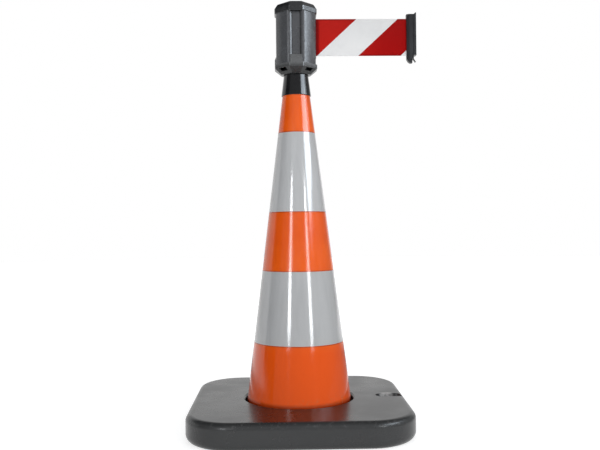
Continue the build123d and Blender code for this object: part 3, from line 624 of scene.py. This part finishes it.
dress(plasticMaterial("collarPlastic", collar), "collar")
dress(plasticMaterial("drumPlastic", drum), "housing")
dress(plasticMaterial("cupPlastic", cup), "head_base")
dress(plasticMaterial("capPlastic", cap), "top_cap")
dress(plasticMaterial("guidePlastic", guide), "mouth_guide")
dress(plasticMaterial("clipPlastic", clip), "clip_body", "clip_plug")
dress(
    plasticMaterial("nylon", nylon),
    "lower_bush", "upper_bush", "spring_cup", "spring_cover", "spool_drum", "spool_flange",
)

# metals inside: zinc with its spangle, bright steel drawn along its length
metal = {
    "spangle": (180, 4),
    "spangleRange": (0.35, 0.65),
    "lay": (900, 3, 0.6),
    "layRange": (0.3, 0.7),
    "layDepth": 0.000008,
}
zinc = {
    "dark": (0.48, 0.48, 0.47, 1),
    "pale": (0.6, 0.6, 0.6, 1),
    "roughness": (0.3, 0.45),
    "draw": (1, 1, 1),
}
steel = {
    "dark": (0.52, 0.52, 0.53, 1),
    "pale": (0.64, 0.64, 0.65, 1),
    "roughness": (0.2, 0.34),
    "draw": (1, 1, 0.03),
}


def metalMaterial(name, pieceLook):
    look = {**metal, **pieceLook}
    material, tree, shader, place = startMaterial(name, Metallic=1.0)
    lay = noise(tree, stretched(tree, place, look["draw"]), *look["lay"])
    spangle = ranged(tree, noise(tree, place, *look["spangle"]), *look["spangleRange"])
    colour = blendColours(tree, spangle, look["dark"], look["pale"])
    roughness = ranged(tree, lay, *look["layRange"], *look["roughness"])
    finishMaterial(tree, shader, colour, roughness, [(lay, look["layDepth"])])
    return material


dress(
    metalMaterial("zincSteel", zinc),
    "collar_bolt", "collar_washers", "collar_nut", "base_screws", "cup_screws",
)
dress(
    metalMaterial("brightSteel", steel),
    "spool_shaft", "shaft_ring", "belt_anchor", "clip_rod", "power_spring",
)
print("finishes on the moulded and metal pieces")

# belt: red and white woven strap, off the roll, round the mouth's lip and out to a loop on the clip's rod
belt = {
    "bottom": 0.7365,
    "top": 0.8115,
    "rows": 4,
    "thick": 0.0006,
    "flatLength": 0.229,
    "leave": (0.02112, -0.01584),
    "leaveSteps": 6,
    "bendStart": (0.0312, -0.0024),
    "bendCentre": (0.036, -0.006),
    "bendTurn": -53.13,
    "bendSteps": 8,
    "straightEnd": 0.2245,
    "straightSteps": 96,
    "aside": 0.55,
    "slipSteps": 4,
    "rod": 0.2301,
    "loop": 0.00235,
    "loopTurn": 18.2,
    "loopSteps": 18,
    "blendStart": (0.036, 0, 0.774),
    "blendEnd": (0.2265, 0, 0.774),
    "red": (0.494, 0.0127, 0.0085, 1),
    "redFar": (0.366, 0.0035, 0.0031, 1),
    "redEdge": (0.24, 0.003, 0.003, 1),
    "white": (0.82, 0.818, 0.812, 1),
    "grey": (0.74, 0.738, 0.736, 1),
    "topShade": (0.02, 0.02, 0.02, 1),
    "topShadeShare": 0.14,
    "specular": 0.03,
    "roughness": (0.5, 0.62),
    "roughRange": (0.3, 0.7),
    "stripePeriod": 0.1703,
    "stripeCentre": 0.0844,
    "stripeLean": 1.082,
    "stripeEdge": (0.2455, 0.2485, 1, 0),
    "edge": (0.0042, 0.0012, 0.75),
    "farRange": (0.07, 0.2),
    "mouth": (0.0435, 0.05, 0.9, 0),
    "cloud": (22, 5, 0.6),
    "greyRange": (0.45, 0.8),
    "thread": 0.0009,
    "threadGap": (0.0, 0.2, 0.1, 0),
    "threadDepth": 0.00006,
    "ripple": (30, 2),
    "rippleDepth": 0.0002,
}


def beltMaterial(name, look, wound):
    material, tree, shader, place = startMaterial(name, Specular_IOR_Level=look["specular"])
    if wound:
        where = axes(tree, addNode(tree, "UVMap", uv_map="along").outputs["UV"])
        along = where["X"]
        up = where["Y"]
    else:
        # distance from the cone's axis, so the pattern turns with the head and stays true when pulled
        along = vectorMaths(tree, "LENGTH", vectorMaths(tree, "MULTIPLY", place, (1, 1, 0)))
        up = axes(tree, place)["Z"]
    rise = maths(tree, "MULTIPLY", maths(tree, "SUBTRACT", up, look["bottom"]), look["stripeLean"])
    lean = maths(tree, "SUBTRACT", maths(tree, "SUBTRACT", along, rise), look["stripeCentre"])
    stripe = zigzag(tree, maths(tree, "DIVIDE", lean, look["stripePeriod"]))
    white = ranged(tree, stripe, *look["stripeEdge"])
    middle = (look["bottom"] + look["top"]) / 2
    half = (look["top"] - look["bottom"]) / 2
    inner, outer, share = look["edge"]
    edge = ranged(tree, apartFrom(tree, up, middle), half - inner, half - outer, 0, share)
    cloth = addNode(tree, "CombineXYZ", {"X": along, "Z": up}).outputs[0]
    cloud = noise(tree, cloth, *look["cloud"])
    red = blendColours(tree, ranged(tree, along, *look["farRange"]), look["red"], look["redFar"])
    # painted shadow where the strap comes out of the mouth
    mouth = ranged(tree, along, *look["mouth"])
    red = blendColours(tree, maths(tree, "MAXIMUM", edge, mouth), red, look["redEdge"])
    pale = blendColours(tree, ranged(tree, cloud, *look["greyRange"]), look["white"], look["grey"])
    colour = blendColours(tree, white, red, pale)
    # painted shade: a little darker towards its upper edge
    topShade = ranged(tree, up, look["bottom"], look["top"], 0, look["topShadeShare"], curve="LINEAR")
    colour = blendColours(tree, topShade, colour, look["topShade"])
    # plain weave: threads over and under by turns
    count = 1 / look["thread"]
    warp = zigzag(tree, maths(tree, "MULTIPLY", up, count))
    weft = zigzag(tree, maths(tree, "MULTIPLY", along, count))
    turn = addNode(tree, "TexChecker", {"Vector": cloth, "Scale": count}).outputs["Fac"]
    weave = addNode(tree, "Mix", {0: turn, 2: warp, 3: weft}).outputs[0]
    colour = blendColours(tree, ranged(tree, weave, *look["threadGap"]), colour, look["redEdge"])
    roughness = ranged(tree, cloud, *look["roughRange"], *look["roughness"])
    heights = [
        (weave, look["threadDepth"]),
        (noise(tree, cloth, *look["ripple"]), look["rippleDepth"]),
    ]
    finishMaterial(tree, shader, colour, roughness, heights)
    return material


def newPiece(name, mesh, material):
    data = bpy.data.meshes.new(name)
    mesh.normal_update()
    mesh.to_mesh(data)
    mesh.free()
    piece = bpy.data.objects.new(name, data)
    scene.collection.objects.link(piece)
    data.materials.append(material)
    return piece


def extrudeRow(mesh, row, move):
    made = bmesh.ops.extrude_edge_only(mesh, edges=row)["geom"]
    points = [part for part in made if isinstance(part, bmesh.types.BMVert)]
    bmesh.ops.transform(mesh, matrix=move, verts=points)
    edges = [part for part in made if isinstance(part, bmesh.types.BMEdge)]
    return [edge for edge in edges if all(point in points for point in edge.verts)]


def firstRow(mesh, at, look):
    low = mesh.verts.new((at[0], at[1], look["bottom"]))
    high = mesh.verts.new((at[0], at[1], look["top"]))
    edge = mesh.edges.new((low, high))
    bmesh.ops.subdivide_edges(mesh, edges=[edge], cuts=look["rows"] - 1)
    return list(mesh.edges)


def rowOrder(part, width):
    spots = sorted(point.index for point in part.verts)
    first = spots[0] // width
    last = spots[-1] // width
    return last, last - first, spots


def sortRows(mesh, width):
    # row by row, so that every run has the edges and faces in the same order
    mesh.verts.index_update()
    for parts in (mesh.edges, mesh.faces):
        ordered = sorted(parts, key=lambda part: rowOrder(part, width))
        ranks = {part: rank for rank, part in enumerate(ordered)}
        parts.sort(key=ranks.get)


def aboutUpright(centre, degrees):
    there = Matrix.Translation((centre[0], centre[1], 0))
    return there @ Matrix.Rotation(math.radians(degrees), 4, "Z") @ there.inverted()


# webbing: a thin sheet of cloth whose cut edges are slightly rounded
webbing = {"rounding": 0.3, "segments": 2, "sharperThan": 60}


def addThickness(piece, thick, look):
    skin = piece.modifiers.new("thickness", "SOLIDIFY")
    skin.thickness = thick
    skin.offset = 0
    for face in piece.data.polygons:
        face.use_smooth = True
    rounded = piece.modifiers.new("edges", "BEVEL")
    rounded.width = thick * look["rounding"]
    rounded.segments = look["segments"]
    rounded.limit_method = "ANGLE"
    rounded.angle_limit = math.radians(look["sharperThan"])


def beltStrap(look):
    mesh = bmesh.new()
    row = firstRow(mesh, look["leave"], look)
    run = Vector(look["bendStart"]) - Vector(look["leave"])
    lead = Matrix.Translation((run.x / look["leaveSteps"], run.y / look["leaveSteps"], 0))
    for step in range(look["leaveSteps"]):
        row = extrudeRow(mesh, row, lead)
    bend = look["bendTurn"] / look["bendSteps"]
    for step in range(look["bendSteps"]):
        row = extrudeRow(mesh, row, aboutUpright(look["bendCentre"], bend))
    pace = (look["straightEnd"] - look["bendCentre"][0]) / look["straightSteps"]
    for step in range(look["straightSteps"]):
        row = extrudeRow(mesh, row, Matrix.Translation((pace, 0, 0)))
    # into the clip beside the middle, then round the rod and back
    aside = look["thick"] * look["aside"]
    reach = math.sqrt(look["loop"] ** 2 - aside ** 2)
    slip = (look["rod"] - reach - look["straightEnd"]) / look["slipSteps"]
    for step in range(look["slipSteps"]):
        row = extrudeRow(mesh, row, Matrix.Translation((slip, -aside / look["slipSteps"], 0)))
    for step in range(look["loopSteps"]):
        row = extrudeRow(mesh, row, aboutUpright((look["rod"], 0), look["loopTurn"]))
    sortRows(mesh, look["rows"] + 1)
    strap = newPiece("belt_strap", mesh, beltMaterial("beltWebbing", look, False))
    addThickness(strap, look["thick"], webbing)
    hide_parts("belt_web")
    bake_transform(strap)


# roll: the rest of the strap, wound on the spool from its loop on the anchor
roll = {
    "bottom": belt["bottom"],
    "top": belt["top"],
    "rows": 1,
    "thick": 0.00054,
    "anchor": 0.0082,
    "loop": 0.0014,
    "loopTurn": 17.5,
    "loopSteps": 10,
    "liftSteps": 3,
    "first": 0.01137,
    "last": 0.0255,
    "turns": 23.5,
    "perTurn": 40,
    "stripeCentre": 0.0,
}


def beltRoll(look, strapLook):
    mesh = bmesh.new()
    row = firstRow(mesh, (0.0, look["anchor"] - look["loop"]), look)
    for step in range(look["loopSteps"]):
        row = extrudeRow(mesh, row, aboutUpright((0, look["anchor"]), look["loopTurn"]))
    lift = (look["first"] - look["anchor"] - look["loop"]) / look["liftSteps"]
    for step in range(look["liftSteps"]):
        row = extrudeRow(mesh, row, Matrix.Translation((0, lift, 0)))
    steps = int(look["turns"] * look["perTurn"])
    radius = look["first"]
    for step in range(steps):
        wider = radius + (look["last"] - look["first"]) / steps
        grow = Matrix.Diagonal((wider / radius, wider / radius, 1, 1))
        row = extrudeRow(mesh, row, grow @ aboutUpright((0, 0), 360 / look["perTurn"]))
        radius = wider
    # lengthwise and crosswise map for the stripes and the weave
    layer = mesh.loops.layers.uv.new("along")
    mesh.faces.ensure_lookup_table()
    travelled = 0.0
    for face in mesh.faces:
        length = face.calc_area() / (look["top"] - look["bottom"])
        near = set(face.edges[0].verts)
        for corner in face.loops:
            ahead = 0.0 if corner.vert in near else length
            corner[layer].uv = (travelled + ahead, corner.vert.co.z)
        travelled += length
    woundLook = {**strapLook, "stripeCentre": look["stripeCentre"]}
    turns = newPiece("belt_roll_turns", mesh, beltMaterial("beltWound", woundLook, True))
    addThickness(turns, look["thick"], webbing)
    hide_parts("belt_roll")
    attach(turns, "spool")
    print("belt wound on the spool:", round(travelled, 3), "m")


beltRoll(roll, belt)
beltStrap(belt)
print("belt made")

# floor: pale matt studio floor
ground = {
    "radius": 9.0,
    "segments": 96,
    "pale": (0.52, 0.52, 0.52, 1),
    "shade": (0.5, 0.5, 0.5, 1),
    "specular": 0.2,
    "cloud": (3, 3),
    "roughness": (0.7, 0.85),
    "roughRange": (0.3, 0.7),
    "grit": (200, 2),
    "gritDepth": 0.00005,
    "glow": (0.3, 1.4, 0.72, 1.0),
    "mirrorNear": (0.55, 0.8, 1, 0),
    "mirrorFar": (0.8, 1.3),
}


def addFloor(look):
    mesh = bmesh.new()
    bmesh.ops.create_circle(mesh, cap_ends=True, segments=look["segments"], radius=look["radius"])
    data = bpy.data.meshes.new("floor")
    mesh.to_mesh(data)
    mesh.free()
    floor = bpy.data.objects.new("floor", data)
    scene.collection.objects.link(floor)
    material, tree, shader, place = startMaterial("floorPaint", Specular_IOR_Level=look["specular"])
    cloud = noise(tree, place, *look["cloud"])
    colour = blendColours(tree, cloud, look["pale"], look["shade"])
    roughness = ranged(tree, cloud, *look["roughRange"], *look["roughness"])
    heights = [(noise(tree, place, *look["grit"]), look["gritDepth"])]
    finishMaterial(tree, shader, colour, roughness, heights)
    # lit from below like a studio table, so that it reads white
    away = vectorMaths(tree, "LENGTH", place)
    path = addNode(tree, "LightPath").outputs
    where = axes(tree, place)
    near = ranged(tree, away, *look["mirrorNear"])
    far = ranged(tree, leaning(tree, where["Y"], where["X"], backdropLean), *look["mirrorFar"])
    mirrored = maths(tree, "MULTIPLY", path["Is Glossy Ray"], maths(tree, "MAXIMUM", near, far))
    seen = maths(tree, "MAXIMUM", path["Is Camera Ray"], mirrored)
    glow = maths(tree, "MULTIPLY", seen, ranged(tree, away, *look["glow"]))
    shader.inputs["Emission Color"].default_value = (1, 1, 1, 1)
    tree.links.new(glow, shader.inputs["Emission Strength"])
    data.materials.append(material)


addFloor(ground)
print("floor laid")
